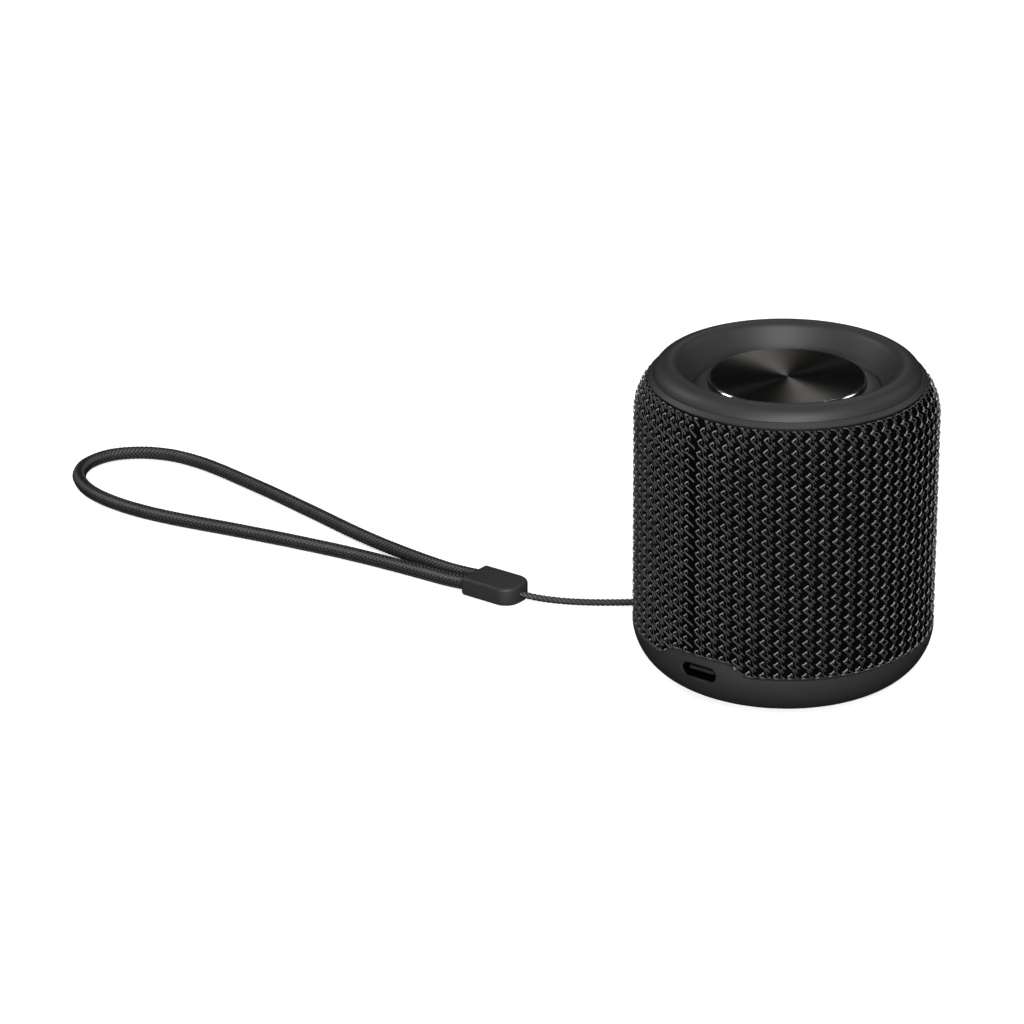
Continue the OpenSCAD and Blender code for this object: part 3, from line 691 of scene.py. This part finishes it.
# ---------------------------------------------------------------- radiator
roll = ([(24.4, 66.4), (24.4, 67.0), (21.2, 67.0)]
        + arc(17.3, 66.7, 3.6, 1.65, 8, 90, 20)
        + [(16.4, 68.35), (16.4, 67.75), (17.3, 67.75)]
        + arc(17.3, 66.7, 3.1, 1.05, 90, 4, 16) + [(20.4, 66.4)])
surround = add("surround_roll", *lathe(roll, 180), MATS["surround"], ride=False)
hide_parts("radiator_surround")
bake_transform(surround)

PLATE_R, PLATE_Z = 17.55, 69.8
DISH, GROOVE_DEPTH, GROOVE_GAP = 0.1, 0.006, 0.24
plate_profile = [(0, 68.4), (PLATE_R - 0.1, 68.4), (PLATE_R, 68.5), (PLATE_R, 69.33),
                 (PLATE_R - 0.03, 69.37), (PLATE_R - 0.47, 69.78), (PLATE_R - 0.55, PLATE_Z)]
top = []
ring_r = PLATE_R - 0.62
while ring_r > 0.4:
    top.append((ring_r, PLATE_Z - DISH * (1 - (ring_r / PLATE_R) ** 2)
                - (GROOVE_DEPTH if len(top) % 2 else 0.0)))
    ring_r -= GROOVE_GAP
top.append((0, PLATE_Z - DISH))
plate_profile += top
verts, faces = lathe(plate_profile, 200, closed=False)
marks = []
for f in faces:
    zs = [verts[i][2] for i in f]
    rs = [math.hypot(verts[i][0], verts[i][1]) for i in f]
    marks.append(1 if min(zs) > 69.35 and max(rs) > PLATE_R - 0.5 else 0)
add("spun_plate", verts, faces, [MATS["plate"], MATS["bevel"]], body="radiator",
    slot="spun_plate", stands_for=("radiator_plate",), angle=30, face_mats=marks)

# ---------------------------------------------------------------- driver's spider
ripple = [(6.7 + 0.3 * k, 47.45 + 0.3 * k / 19 + 0.12 * math.sin(1.1 * k)) for k in range(20)]
spider = add("spider_cloth_disc",
             *lathe(ripple + [(13.0, 47.92), (13.9, 47.92), (13.9, 48.18), (12.8, 48.18)]
                    + [(r, z + 0.25) for r, z in reversed(ripple)], 120),
             MATS["spider"], ride=False)
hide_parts("driver_spider")
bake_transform(spider)

# ---------------------------------------------------------------- socket contacts
PORT_Z, CONTACTS, CONTACT_GAP, FIRST_CONTACT_X = 10.4, 12, 0.5, -2.75
CONTACT_DZ = 0.37      # from the tongue's middle to each row
pads = ([], [])
for side in (-1, 1):
    for k in range(CONTACTS):
        x, z = FIRST_CONTACT_X + CONTACT_GAP * k, PORT_Z + side * CONTACT_DZ
        w, y0, y1, t = 0.13, -31.7, -28.2, 0.03
        b = len(pads[0])
        pads[0].extend([(x - w, y0, z - t), (x + w, y0, z - t), (x + w, y1, z - t),
                        (x - w, y1, z - t), (x - w, y0 + 0.1, z + t), (x + w, y0 + 0.1, z + t),
                        (x + w, y1, z + t), (x - w, y1, z + t)])
        pads[1].extend([(b, b + 3, b + 2, b + 1), (b + 4, b + 5, b + 6, b + 7),
                        (b, b + 1, b + 5, b + 4), (b + 1, b + 2, b + 6, b + 5),
                        (b + 2, b + 3, b + 7, b + 6), (b + 3, b, b + 4, b + 7)])
add("socket_contacts", *pads, MATS["gold"], slot="port_steel", angle=30)

# ---------------------------------------------------------------- finishes of CAD nodes
FINISH = {
    "shell": ["bottom_shell"],
    "ring": ["top_ring"],
    "inner": ["grille_frame", "cabinet", "radiator_frame", "radiator_core", "battery_tray",
              "key_bezel", "usb_tongue", "plunger_plus", "plunger_play", "plunger_minus"],
    "rubber": ["foot_pad", "base_gasket", "driver_gasket", "driver_surround", "lead_grommet",
               "usb_seal", "key_plus", "key_play", "key_minus", "strap_gland"],
    "zinc": ["base_screws", "radiator_screws", "radiator_weight", "driver_screws",
             "driver_basket", "driver_top_plate", "driver_yoke", "board_screws", "strap_stop"],
    "nickel": ["wireless_module"],
    "socket": ["usb_shell"],
    "cone": ["driver_cone", "driver_dust_cap"],
    "copper": ["voice_coil"],
    "spider": ["driver_spider"],
    "ferrite": ["driver_magnet"],
    "brass": ["driver_terminals"],
    "wire": ["driver_leads", "battery_leads"],
    "pcb": ["main_board", "switch_board"],
    "chip": ["board_parts", "switch_housings"],
    "wrap": ["battery_cell"],
    "foam": ["battery_foam"],
    "film": ["key_ribbon"],
    "surround": ["radiator_surround"],
    "plate": ["radiator_plate"],
    "backing": ["fabric_sleeve"],
    "connector": ["strap_connector"],
    "cord_yarn": ["thin_cord", "wrist_loop"],
}
for finish, names in FINISH.items():
    for name in names:
        data = NODES[name].data
        data.materials.clear()
        data.materials.append(MATS[finish])

# ---------------------------------------------------------------- floor and light
FLOOR_HALF, FLOOR_Z = 3, -0.0002    # metres
floor_mesh = bpy.data.meshes.new("floor")
floor_mesh.from_pydata([(x * FLOOR_HALF, y * FLOOR_HALF, FLOOR_Z) for x, y in (
    (-1, -1), (1, -1), (1, 1), (-1, 1))], [], [(0, 1, 2, 3)])
floor = bpy.data.objects.new("floor", floor_mesh)
bpy.context.scene.collection.objects.link(floor)
pale = bpy.data.materials.new("pale_floor")
tree, shader = nodes_of(pale)
tree.links.new(ramp(tree, noise(tree, mapped(tree), 0.02), g(0.9), g(0.93)),
               shader.inputs["Base Color"])
shader.inputs["Roughness"].default_value = 0.9
shader.inputs["Specular IOR Level"].default_value = 0.1
shader.inputs["Emission Color"].default_value = (1, 1, 1, 1)
shader.inputs["Emission Strength"].default_value = 0.72
floor_mesh.materials.append(pale)
floor.visible_glossy = floor.visible_diffuse = False

world = bpy.data.worlds.new("studio")
bpy.context.scene.world = world
world.use_nodes = True
sky = world.node_tree
back = sky.nodes["Background"]
direction = node(sky, "ShaderNodeTexCoord")
height = node(sky, "ShaderNodeSeparateXYZ")
sky.links.new(direction.outputs["Generated"], height.inputs[0])
glow = node(sky, "ShaderNodeMapRange")
for key, value in (("From Min", -0.1), ("From Max", 0.5), ("To Min", 0.22), ("To Max", 0.42)):
    glow.inputs[key].default_value = value
sky.links.new(height.outputs["Z"], glow.inputs["Value"])
path = node(sky, "ShaderNodeLightPath")
seen = node(sky, "ShaderNodeMath", operation="MAXIMUM")
sky.links.new(glow.outputs["Result"], seen.inputs[0])
sky.links.new(path.outputs["Is Camera Ray"], seen.inputs[1])
sky.links.new(seen.outputs[0], back.inputs["Strength"])
bpy.context.scene.view_settings.view_transform = "Standard"


def softbox(name, toward, distance, size, power, target):
    """An area light at azimuth and elevation (degrees, azimuth 0 in front at -Y)."""
    azimuth, elevation = map(math.radians, toward)
    out = Vector((math.sin(azimuth) * math.cos(elevation),
                  -math.cos(azimuth) * math.cos(elevation), math.sin(elevation)))
    data = bpy.data.lights.new(name, "AREA")
    data.shape, data.size, data.size_y = "RECTANGLE", size[0], size[1]
    data.energy = power
    light = bpy.data.objects.new(name, data)
    light.location = Vector(target) + out * distance
    light.rotation_euler = out.to_track_quat("Z", "Y").to_euler()
    bpy.context.scene.collection.objects.link(light)


# Metres, watts. The strips and the wedge aim at the plate, the rest at the body.
BODY_MIDDLE, PLATE_MIDDLE = (0, 0, 0.04), (0, 0, 0.07)
for light in (("front", (44, 44), 0.9, (0.5, 0.4), 5.5, BODY_MIDDLE),
              ("low_fill", (30, 12), 1.0, (0.8, 0.3), 9, BODY_MIDDLE),
              ("wedge", (207, 40.5), 0.9, (0.1, 0.1), 0.42, PLATE_MIDDLE),
              ("left_strip", (-76, 35), 0.9, (0.14, 0.26), 1.7, PLATE_MIDDLE),
              ("right_strip", (148, 35), 0.9, (0.14, 0.26), 0.6, PLATE_MIDDLE)):
    softbox(*light)
